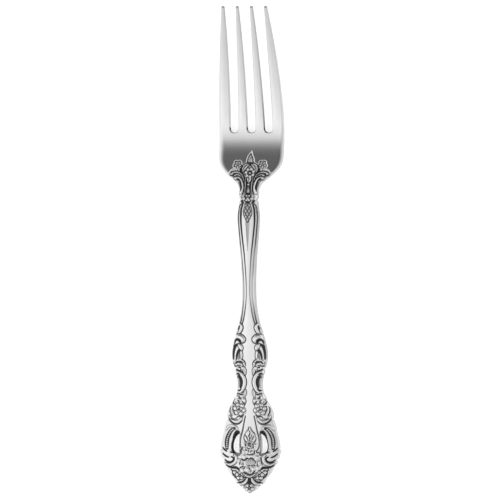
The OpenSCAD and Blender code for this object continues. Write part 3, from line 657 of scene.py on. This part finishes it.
def draw_end(r):
    """Acanthus tips, volutes and roses at the end of the handle."""
    r.hollow((7.15, -76.3, 0.1), (7.1, -75.2, 0.25), (6.95, -74.2, 0.35), (6.7, -73.2, 0.5),
             (6.2, -71.9, 0.8), (5.3, -71, 1.2), (4.5, -71.1, 1.2))
    r.hollow((6.7, -79, 0.5), (5.5, -79.3, 0.9), (4.5, -79.2, 0.8))
    r.hollow((10.9, -77.1, 0.4), (10.2, -77.9, 0.6), (9.3, -78.6, 0.5))
    r.hollow((10.9, -79.3, 0.4), (10, -80.2, 0.65), (9.1, -80.7, 0.6), (8.4, -80.9, 0.4))
    r.band((9.6, -83.2, 0.5), (8.1, -83.8, 1), (6.6, -83.4, 1.2), (5.6, -82.3, 1.2), (5.4, -81, 1.1),
           (6, -79.9, 0.9), lift=0.6, groove=0.2)
    r.hollow((10, -81.8, 0.4), (9, -82.6, 0.65), (7.9, -82.85, 0.75), (6.9, -82.45, 0.8),
             (6.4, -81.7, 0.75), (6.8, -80.95, 0.65), (7.5, -80.7, 0.4))
    r.hollow((9.6, -84, 0.3), (8.4, -84.6, 0.6), (6.8, -84.9, 0.9), (5.5, -84.9, 1), (4.6, -85.4, 0.8),
             (3.9, -86, 0.5))
    r.ground((7.8, -78.6, 0.4), (6.7, -78.9, 0.8), (5.5, -79.3, 1.3), (4.3, -79.6, 1.4), stain=0.7)
    r.ground((4.4, -86.9, 1.2), (4, -88.2, 2.8), (4.4, -89.3, 1.6), stain=0.85)
    r.hollow((7.5, -85.5, 0.4), (6.9, -86.4, 0.5), (6.8, -87.6, 0.5), (5.9, -88.5, 0.6), (4.7, -89.5, 0.5))
    r.knob(6.05, -86.8, 1.4)
    r.rosette(3.9, -88, 3.5)
    r.hollow((2.7, -88.6, 0.4), (1.3, -89, 0.6), (0, -89.6, 0.8))
    r.hollow((0, -89.4, 0.6), (0, -90.2, 0.8), (0, -91.2, 1.6), (0, -91.7, 2.6))
    r.band((4.7, -91.3, 0.6), (3.2, -91.4, 0.9), (2, -90.9, 1.1), (1.2, -90, 1), (0.9, -89.1, 0.7))
    r.hollow((4.4, -90.5, 0.35), (3.4, -90.5, 0.5), (2.5, -90.1, 0.5), (2.1, -89.4, 0.35))
    r.petal(2.75, -92.3, 1.3)
    r.band((2.5, -87.3, 0.5), (1.3, -88, 0.8), (0, -88.5, 0.9), groove=0.2)
    r.mirror(False)
    r.scatter(END_PETALS, fold_stain=0.15)
    r.cuts(END_CUTS)
    draw_heart(r)
    r.mirror(True)
    r.rosette(0, -92.8, 3.5, turn=-math.pi / 2)


def relief_over(x, y):
    """Heights and painted shade of the whole ornament at the points of a grid."""
    r = Relief(x, y)
    r.dome = ROOT_DOME
    draw_stem(r)
    draw_root(r)
    draw_collar(r)
    draw_bud(r)
    r.dome = HANDLE_DOME
    draw_swell(r)
    draw_bell(r)
    draw_openwork(r)
    draw_end(r)
    return r.height.reshape(x.shape), r.painted_shade.reshape(x.shape)


# Meshes

# Columns over a rounded edge, and across the middle of the underside
ARC_POINTS = 7
UNDER_COLUMNS = 10
# Keeps the slope of a quarter round finite at its foot
SLOPE_EASE = 1e-6


def columns(left, right, left_width, right_width, count):
    """Places across each ring, close together over the rounded edges."""
    arc = 1 - np.cos(np.linspace(0, math.pi / 2, ARC_POINTS))
    start = left[:, None] + left_width[:, None] * arc
    stop = right[:, None] - right_width[:, None] * arc[::-1]
    middle = np.linspace(0, 1, count + 2)[1:-1]
    return np.hstack([start, start[:, -1:] + (stop[:, :1] - start[:, -1:]) * middle, stop])


def edge_slope(gap, width, depth, roundness):
    """How steeply an edge falls at a distance from it."""
    inside = np.clip(1 - gap / width, 0, 1)
    bevel = BEVEL_CURVE * inside ** (BEVEL_CURVE - 1)
    quarter = roundness * inside / np.sqrt(1 - inside**2 + SLOPE_EASE)
    return depth / width * ((1 - roundness) * bevel + quarter)


def edge_drop(gap, width, depth, roundness):
    """How far an edge falls below the face at a distance from the edge."""
    inside = np.clip(1 - gap / width, 0, 1)
    return depth * ((1 - roundness) * inside**BEVEL_CURVE + roundness * (1 - np.sqrt(1 - inside**2)))


# The margin over which relief fades out towards an edge, and the painted shade and length of the tines'
# tips
EDGE_CLEAR = 0.5
TIP_SHADE = 0.6
TIP_DARK = 0.9
# The most that an edge takes of a plate's width, and of its thickness on the face, in a slot and below
EDGE_REACH = 0.45
FACE_SHARE = 0.5
SLOT_SHARE = 0.4
UNDER_SHARE = 0.35
# Where painted shade on a wall is full, as a share of its edge's width
WALL_FULL = 0.7


def loft(name, ys, left, right, crowned, left_edge, right_edge, round_gap=None, walls=(None, None),
         span=None, spread=0.0):
    """A closed plate between two edges along y, with relief on its face.

    Each edge is a width, depth and roundness. round_gap is the distance to another rounded edge,
    walls holds the painted shade along the left and the right wall, span the edges that the crown spans,
    and spread is how far the foot of each wall stands outside its top.
    """
    face, under = face_curve(ys), under_curve(ys)
    thick = (face - under)[:, None]
    reach = EDGE_REACH * (right - left)
    sides = []
    for line, (width, depth, roundness) in ((left, left_edge), (right, right_edge)):
        lean = np.sqrt(1 + np.gradient(line, ys) ** 2)
        width = np.minimum(width * lean, reach)[:, None]
        depth = np.minimum(depth[:, None], FACE_SHARE * thick)
        sides.append((width, depth, roundness[:, None]))

    def drop(x, y, edges):
        gaps = (x - left[:, None], right[:, None] - x)
        fall = np.maximum(*[edge_drop(gap, *edge) for gap, edge in zip(gaps, edges)])
        if round_gap:
            depth = np.minimum(SLOT_EDGE, SLOT_SHARE * thick)
            fall = np.maximum(fall, edge_drop(round_gap(x, y), SLOT_EDGE, depth, 1))
        return fall

    x = columns(left, right, sides[0][0][:, 0], sides[1][0][:, 0], COLUMNS[name])
    y = np.broadcast_to(ys[:, None], x.shape)
    height, painted_shade = relief_over(x, y)
    gaps = (x - left[:, None], right[:, None] - x)
    clear = smooth_step(0, EDGE_CLEAR, np.minimum(*gaps))
    height, painted_shade = np.where(height > 0, height * clear, height), painted_shade * clear
    # Painted shade on the tines' tips
    painted_shade = np.maximum(painted_shade, TIP_SHADE * smooth_step(y_tip - TIP_DARK, y_tip - TIP_DARK / 2, y))
    low, high = span or (left, right)
    middle, half = (low + high)[:, None] / 2, (high - low)[:, None] / 2
    bow = crowned[:, None] * ((x - middle) / half) ** 2
    top = np.stack([x, y, face[:, None] + height - drop(x, y, sides) - bow], axis=-1)
    under_width = np.minimum(UNDER_EDGE[0], reach)
    under_depth = np.minimum(UNDER_EDGE[1], UNDER_SHARE * thick)
    under_sides = [(under_width[:, None], under_depth, UNDER_EDGE[2])] * 2
    under_x = columns(left, right, under_width, under_width, UNDER_COLUMNS)
    under_y = np.broadcast_to(ys[:, None], under_x.shape)
    under_z = under[:, None] + drop(under_x, under_y, under_sides)
    outward = (2 * under_x - (left + right)[:, None]) / (right - left)[:, None]
    foot_x = under_x + np.broadcast_to(spread, ys.shape)[:, None] * outward
    bottom = np.stack([foot_x, under_y, under_z], axis=-1)
    under_shade = np.zeros(under_x.shape)
    # Painted shade on steep rims and along the walls, over that of the relief
    rim = np.interp(ys, *zip(*RIMS))[:, None]
    slope = np.maximum(*[edge_slope(gap, *edge) for gap, edge in zip(gaps, sides)])
    painted_shade = np.maximum(painted_shade, rim * smooth_step(*RIM_STEEP, slope))
    under_shade[:, [0, -1]] = rim
    for stain, gap, (width, _, _), column in zip(walls, gaps, sides, (0, -1)):
        if stain is not None:
            painted_shade = np.maximum(painted_shade, stain[:, None] * smooth_step(width, WALL_FULL * width, gap))
            under_shade[:, column] = stain
    shades = np.concatenate([painted_shade.ravel(), under_shade.ravel()])
    return closed_mesh(name, top * MM, bottom * MM, shades)


def place_object(name, data):
    """A new object in the scene."""
    obj = bpy.data.objects.new(name, data)
    scene.collection.objects.link(obj)
    return obj


def closed_mesh(name, top, bottom, painted_shade):
    """A mesh object from two grids of points that share their side edges and ends."""
    rows, cols, under = top.shape[0], top.shape[1], bottom.shape[1]
    a = np.arange(rows * cols).reshape(rows, cols)
    b = rows * cols + np.arange(rows * under).reshape(rows, under)

    def quads(p, q, r, s):
        return np.stack([p, q, r, s], axis=-1).reshape(-1, 4).tolist()

    faces = quads(a[:-1, :-1], a[:-1, 1:], a[1:, 1:], a[1:, :-1])
    faces += quads(b[:-1, :-1], b[1:, :-1], b[1:, 1:], b[:-1, 1:])
    faces += quads(a[:-1, 0], a[1:, 0], b[1:, 0], b[:-1, 0])
    faces += quads(a[:-1, -1], b[:-1, -1], b[1:, -1], a[1:, -1])
    faces.append(a[0, ::-1].tolist() + b[0].tolist())
    faces.append(a[-1].tolist() + b[-1, ::-1].tolist())
    mesh = bpy.data.meshes.new(name)
    mesh.from_pydata(np.vstack([top.reshape(-1, 3), bottom.reshape(-1, 3)]).tolist(), [], faces)
    mesh.polygons.foreach_set("use_smooth", [True] * len(faces))
    ends = np.zeros(len(mesh.vertices), int)
    for end, row in ((1, 0), (2, -1)):
        ends[a[row]] = ends[b[row]] = end
    pairs = np.zeros(2 * len(mesh.edges), int)
    mesh.edges.foreach_get("vertices", pairs)
    first, second = ends[pairs[::2]], ends[pairs[1::2]]
    mesh.edges.foreach_set("use_edge_sharp", (first > 0) & (first == second))
    # Painted shade at each point, which darkens the steel's colour
    stain = mesh.attributes.new("painted_shade", "FLOAT", "POINT")
    stain.data.foreach_set("value", painted_shade)
    mesh.update()
    return place_object(name, mesh)


def steps(low, high, step):
    """Even stations from low to high, about step apart."""
    return np.linspace(low, high, max(2, round((high - low) / step) + 1))


# Materials

BRIGHT = (0.86, 0.86, 0.865, 1)
WORN = (0.80, 0.80, 0.81, 1)
# The dark colour, and the roughness, of the painted shade in cuts and on walls and rims
PAINTED_SHADE_COLOUR = (0.03, 0.03, 0.032, 1)
PAINTED_SHADE_ROUGHNESS = 0.5


def fill(tree, node, inputs):
    """Sets a node's inputs to values, or links them to the outputs of other nodes."""
    for name, value in inputs.items():
        if isinstance(value, bpy.types.NodeSocket):
            tree.links.new(value, node.inputs[name])
        else:
            node.inputs[name].default_value = value


def add_node(tree, kind, inputs=None, **settings):
    """A new shader node, with its settings made before its inputs are filled."""
    node = tree.nodes.new("ShaderNode" + kind)
    for name, setting in settings.items():
        setattr(node, name, setting)
    fill(tree, node, inputs or {})
    return node


def mixed(tree, factor, a, b, **settings):
    """A mix of two numbers, or of two colours with data_type RGBA."""
    return add_node(tree, "Mix", {"Factor": factor, "A": a, "B": b}, **settings).outputs["Result"]


def steel(name, polish, wear):
    """Polished steel: painted shade in the cuts and on walls and rims, fine polishing lines along the fork,
    faint wear.
    """
    material = bpy.data.materials.new(name)
    material.use_nodes = True
    tree = material.node_tree
    place = add_node(tree, "TexCoord").outputs["Object"]
    along = add_node(tree, "Mapping", {"Vector": place, "Scale": (1, 0.06, 1)}).outputs["Vector"]
    lines = add_node(tree, "TexNoise", {"Vector": along, "Scale": 2600, "Detail": 4}).outputs["Fac"]
    clouds = add_node(tree, "TexNoise", {"Vector": place, "Scale": 160, "Detail": 3}).outputs["Fac"]
    # Painted shade from the mesh turns the colour dark and the steel rougher
    stain = add_node(tree, "Attribute", attribute_name="painted_shade").outputs["Fac"]
    tint = mixed(tree, clouds, BRIGHT, WORN, data_type="RGBA")
    gloss = add_node(tree, "MapRange", {"Value": lines, "To Min": polish - wear, "To Max": polish + wear})
    bump = add_node(tree, "Bump", {"Height": lines, "Strength": 0.05, "Distance": 0.02 * MM})
    fill(tree, tree.nodes["Principled BSDF"], {
        "Metallic": 1,
        "Base Color": mixed(tree, stain, tint, PAINTED_SHADE_COLOUR, data_type="RGBA"),
        "Roughness": mixed(tree, stain, gloss.outputs["Result"], PAINTED_SHADE_ROUGHNESS),
        "Normal": bump.outputs["Normal"],
    })
    return material


MATERIALS = {
    "polished_steel": steel("mirror", polish=0.14, wear=0.04),
    "relief_steel": steel("satin", polish=0.17, wear=0.05),
}


def finish_piece(obj, slot, *nodes):
    """Gives a piece the material of a slot, hangs it under the root body and hides the CAD nodes it stands
    for.
    """
    obj.data.materials.append(MATERIALS[slot])
    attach(obj, "root")
    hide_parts(*nodes)


# The head

# Steps along the ornament, the stem, a tine and the slots' bottoms, and how far down the last goes
FINE_STEP = 0.12
STEM_STEP = 0.16
TINE_STEP = 0.25
SLOT_STEP = 0.06
SLOT_ZONE = 1
# Columns across the middle of each piece
COLUMNS = dict.fromkeys(TINES, 14)
COLUMNS.update(palm=170, neck=70, stem=84, handle_swell=130, handle_bell=170)
COLUMNS.update(handle_tongue=64, left_bow=56, right_bow=56, handle_end=180)


def slot_centres():
    """Where the slots' round bottoms start, read from neighbouring tines."""
    starts = [rings(tine) for tine in TINES]
    return [(a[2][0] + b[1][0]) / 2 for a, b in zip(starts, starts[1:])]


SLOTS = slot_centres()
slot_rings = rings("inner_right_tine")
# The slots' half width, read a little above their round bottoms
SLOT_PROBE = 1.5
SLOT_ROUND = slot_rings[1][np.searchsorted(slot_rings[0], y_root + SLOT_PROBE)]


def slot_gap(x, y):
    """Distance from the slots' round bottoms, below them."""
    gaps = [np.hypot(x - c, y - y_root - SLOT_ROUND) - SLOT_ROUND for c in SLOTS]
    return np.clip(np.min(gaps, axis=0), 0, None)


# Rows round a slot's bottom and round a tip
ROOT_ROWS = 16
TIP_ROWS = 14
# A tip: how far along it is rounded, and the share of its width that stays
TIP_ROUND = 0.5
TIP_BLUNT = 0.45
# A tine's crown, the row that it is measured at, and the height over which it sets in
TINE_CROWN = 0.16
CROWN_ROW = 20
CROWN_RUN = 8
# Painted shade on the right wall of each tine at its root, a height with the share left there, and at its
# tip
WALL_SHADES = dict(zip(TINES, (0.3, 0.45, 0.8, 0.3)))
WALL_FADE = (15, 0.6)
WALL_TIP = 0.3
# Painted shade on the left walls, and where a slot's bottom turns into its side: height, shade
LEFT_SHADE = [(0, 0), (10, 0.2), (y_tip - y_root, 0.2)]
SLOT_CORNER = [(0, 0.35), (0.6, 0.5), (1.1, 0.97), (1.8, 0.97), (2.6, 0)]


def build_tine(node):
    """One tine, with slots on its inner sides and a blunt rounded tip."""
    stations = rings(node)
    root = y_root + SLOT_ROUND * (1 - np.cos(np.linspace(0, math.pi / 2, ROOT_ROWS)))
    tip = y_tip - TIP_ROUND + TIP_ROUND * np.sin(np.linspace(0, math.pi / 2, TIP_ROWS))
    ys = np.concatenate([root, steps(root[-1], tip[0], TINE_STEP)[1:-1], tip])
    left, right = [curve(stations[0], side, TINE_SPREAD)(ys) for side in stations[1:3]]
    middle, half = (left + right) / 2, (right - left) / 2
    into_tip = np.clip((ys - tip[0]) / TIP_ROUND, 0, 1)
    tip_half = np.interp(tip[0], ys, half)
    blunt = tip_half * (TIP_BLUNT + (1 - TIP_BLUNT) * np.sqrt(1 - into_tip**2))
    half = np.where(ys > tip[0], blunt, half)
    crowned = TINE_CROWN * half / half[CROWN_ROW] * smooth_step(y_root, y_root + CROWN_RUN, ys)
    slot_edge = even_edge(ys, SLOT_EDGE, SLOT_EDGE, 1)
    up = ys - y_root
    faded = (WALL_FADE[0], WALL_FADE[1] * WALL_SHADES[node])
    wall = np.interp(up, *zip((0, WALL_SHADES[node]), faded, (y_tip - y_root, WALL_TIP)))
    wall = np.maximum(wall, np.interp(up, *zip(*SLOT_CORNER))) if node != TINES[-1] else None
    walls = (np.interp(up, *zip(*LEFT_SHADE)), wall)
    left_edge = outer_edge(ys) if node == TINES[0] else slot_edge
    right_edge = outer_edge(ys) if node == TINES[-1] else slot_edge
    piece = loft(node, ys, middle - half, middle + half, crowned, left_edge, right_edge,
                 lambda x, y: y_tip - y, walls)
    finish_piece(piece, "polished_steel", node)


def build_bar(node, ys, slot, *ornament, round_gap=None):
    """A full-width stretch of the fork along the stations ys."""
    half = half_width(ys)
    piece = loft(node, ys, -half, half, crown(ys), outer_edge(ys), outer_edge(ys), round_gap)
    finish_piece(piece, slot, node, *ornament)


for tine in TINES:
    build_tine(tine)
# The palm's rows are closer together where the slots' bottoms are rounded into it
y_zone = y_root - SLOT_ZONE
palm_rows = np.concatenate([steps(y_neck, y_zone, FINE_STEP)[:-1], steps(y_zone, y_root, SLOT_STEP)])
build_bar("palm", palm_rows, "polished_steel", "root_flame", "root_curls", "root_rose", "root_blooms",
          "root_scrolls", round_gap=slot_gap)

# The stem and the handle

# How far the openings bow outward at their middle, and how far the tongue spreads towards its foot
OPENING_BOW = 0.48
TONGUE_SPREAD = 0.35
# Rows along the openings, and painted shade on the walls of the tongue and the bows
OPENING_ROWS = 90
TONGUE_SHADE = 0.45
BOW_SHADE = 1.0


def build_openwork():
    """The tongue and the two bows."""
    rows = 1 - np.cos(np.linspace(0, math.pi, OPENING_ROWS))
    ys = y_open_bottom + (y_open_top - y_open_bottom) * rows / 2
    tongue, bow = rings("handle_tongue"), rings("right_bow")
    inner = curve(tongue[0], tongue[2], OPENING_SPREAD)(ys)
    outer = curve(bow[0], bow[1], OPENING_SPREAD)(ys)
    share = np.clip((outer - inner) / (outer - inner).max(), 0, 1)
    inner, outer = inner + OPENING_BOW * share, outer + OPENING_BOW * share
    half = half_width(ys)
    crowned, span = crown(ys), (-half, half)
    wall, tongue_edge = even_edge(ys, *OPENING_EDGE), even_edge(ys, *TONGUE_EDGE)
    dark, grey = np.full(ys.size, BOW_SHADE), np.full(ys.size, TONGUE_SHADE)
    piece = loft("handle_tongue", ys, -inner, inner, crowned, tongue_edge, tongue_edge, walls=(grey, grey),
                 span=span, spread=TONGUE_SPREAD * share)
    finish_piece(piece, "relief_steel", "handle_tongue", "tongue_threads", "tongue_palmette", "tongue_rose")
    piece = loft("left_bow", ys, -half, -outer, crowned, outer_edge(ys), wall, walls=(None, dark),
                 span=span)
    finish_piece(piece, "relief_steel", "left_bow", "bow_beads", "bow_scrolls")
    piece = loft("right_bow", ys, outer, half, crowned, wall, outer_edge(ys), walls=(dark, None), span=span)
    finish_piece(piece, "relief_steel", "right_bow", "bow_beads", "bow_scrolls")


build_bar("neck", steps(y_stem, y_neck, FINE_STEP), "polished_steel", "collar_rose")
build_bar("stem", steps(y_swell, y_stem, STEM_STEP), "polished_steel", "stem_bud", "stem_threads")
build_bar("handle_swell", steps(y_waist, y_swell, FINE_STEP), "relief_steel", "swell_curls",
          "swell_volutes", "swell_leaves", "swell_roses", "waist_scrolls")
build_bar("handle_bell", steps(y_open_top, y_waist, FINE_STEP), "relief_steel", "cluster_roses",
          "bell_scrolls")
build_openwork()

# Rows round the handle's end, and the angle of the first of them
END_ROWS = 20
END_ANGLE = 0.12

end_round = y_end + END_ROUND * (1 - np.cos(np.linspace(END_ANGLE, math.pi / 2, END_ROWS)))
end_rows = np.concatenate([end_round, steps(end_round[-1], y_open_bottom, FINE_STEP)[1:]])
build_bar("handle_end", end_rows, "relief_steel", "end_rose", "end_blooms", "end_scrolls", "end_plumes",
          "end_leaves", "tip_rose")

# Camera, at the photograph's angle

# Roll about the fork's length, turn in the picture, focal length, width of the view and its middle
CAMERA_ROLL = math.radians(12.4)
CAMERA_TURN = math.radians(0.263)
LENS = 600
FIELD = 195.3
AIM = (-0.14, 0.1, 3)

camera_data = bpy.data.cameras.new("camera")
camera_data.lens = LENS
distance = FIELD / 2 / (camera_data.sensor_width / 2 / LENS)
back = (math.sin(CAMERA_ROLL), 0, math.cos(CAMERA_ROLL))
camera = place_object("camera", camera_data)
camera.location = [(aim + distance * part) * MM for aim, part in zip(AIM, back)]
camera.rotation_mode = "ZYX"
camera.rotation_euler = (0, CAMERA_ROLL, CAMERA_TURN)
bpy.context.scene.camera = camera

# Floor

# Its side in metres, its gap below the fork, and the glow that is seen but doesn't light the fork
FLOOR_SIZE = 20
FLOOR_GAP = 0.05
FLOOR_GLOW = 0.6


def build_floor():
    """A matte white floor that keeps the fork's shadow."""
    mesh = bpy.data.meshes.new("floor")
    far, z = FLOOR_SIZE / 2, -FLOOR_GAP * MM
    mesh.from_pydata([(-far, -far, z), (far, -far, z), (far, far, z), (-far, far, z)], [], [(0, 1, 2, 3)])
    floor = place_object("floor", mesh)
    material = bpy.data.materials.new("white_floor")
    material.use_nodes = True
    tree = material.node_tree
    path = add_node(tree, "LightPath").outputs
    seen = add_node(tree, "Math", {0: path["Is Camera Ray"], 1: path["Is Glossy Ray"]}, operation="ADD")
    shown = add_node(tree, "Math", {0: seen.outputs[0], 1: path["Is Transmission Ray"]}, operation="ADD")
    glow = add_node(tree, "Math", {0: shown.outputs[0], 1: FLOOR_GLOW}, operation="MULTIPLY")
    fill(tree, tree.nodes["Principled BSDF"], {
        "Base Color": (0.8, 0.8, 0.8, 1),
        "Roughness": 0.9,
        "Specular IOR Level": 0,
        "Emission Color": (1, 1, 1, 1),
        "Emission Strength": glow.outputs[0],
    })
    mesh.materials.append(material)


build_floor()

# Light: a bright studio above and behind the handle, dimmer past the tines and on the right

# Levels by the way along, from the handle's end to the tips, and across, from left to right, as shares
ALONG_LIGHT = [
    (0, 0.6), (0.15, 0.72), (0.2, 0.76), (0.28, 0.92), (0.38, 1), (0.47, 0.95), (0.5, 0.88),
    (0.52, 0.82), (0.534, 0.75), (0.546, 0.63), (0.566, 0.49), (0.598, 0.34), (0.64, 0.195),
    (0.7, 0.132), (0.88, 0.12), (0.95, 0.45), (1, 0.85),
]
ACROSS_LIGHT = [
    (0, 0.95), (0.1, 1), (0.3, 1), (0.393, 0.87), (0.48, 0.82), (0.53, 0.7), (0.58, 0.5), (0.65, 0.35),
    (0.75, 0.35), (0.85, 0.4), (1, 0.5),
]
# How much of the plain cards at the sides replaces that light, from left to right
SIDE_CARDS = [
    (0, 0.8), (0.05, 0.88), (0.1, 0.97), (0.15, 0.84), (0.2, 0.57), (0.25, 0.33), (0.3, 0.15),
    (0.35, 0.04), (0.38, 0), (0.52, 0), (0.535, 0.03), (0.575, 0.2), (0.62, 0.42), (0.655, 0.45),
    (0.685, 0.3), (0.72, 0.55), (0.92, 0.95), (1, 0.95),
]
LIGHT_LEVEL = 1.15
CARD_LEVEL = 0.85


def build_light():
    """The studio, as a world: a level along the fork times one across it, and cards at the sides."""
    world = bpy.data.worlds.new("studio")
    world.use_nodes = True
    scene.world = world
    tree = world.node_tree
    direction = add_node(tree, "TexCoord").outputs["Generated"]
    split = add_node(tree, "SeparateXYZ", {"Vector": direction}).outputs
    levels = []
    for axis, stops in (("Y", ALONG_LIGHT), ("X", ACROSS_LIGHT), ("X", SIDE_CARDS)):
        share = add_node(tree, "MapRange", {"Value": split[axis], "From Min": -1}).outputs["Result"]
        ramp = add_node(tree, "ValToRGB", {"Fac": share})
        elements = ramp.color_ramp.elements
        while len(elements) < len(stops):
            elements.new(0.5)
        for element, (position, level) in zip(elements, stops):
            element.position = position
            element.color = (level, level, level, 1)
        levels.append(ramp.outputs["Color"])
    along, across, sides = levels
    studio = mixed(tree, 1, along, across, data_type="RGBA", blend_type="MULTIPLY")
    cards = (CARD_LEVEL, CARD_LEVEL, CARD_LEVEL, 1)
    light = mixed(tree, sides, studio, cards, data_type="RGBA")
    fill(tree, tree.nodes["Background"], {"Color": light, "Strength": LIGHT_LEVEL})


build_light()

scene.view_settings.view_transform = "Standard"
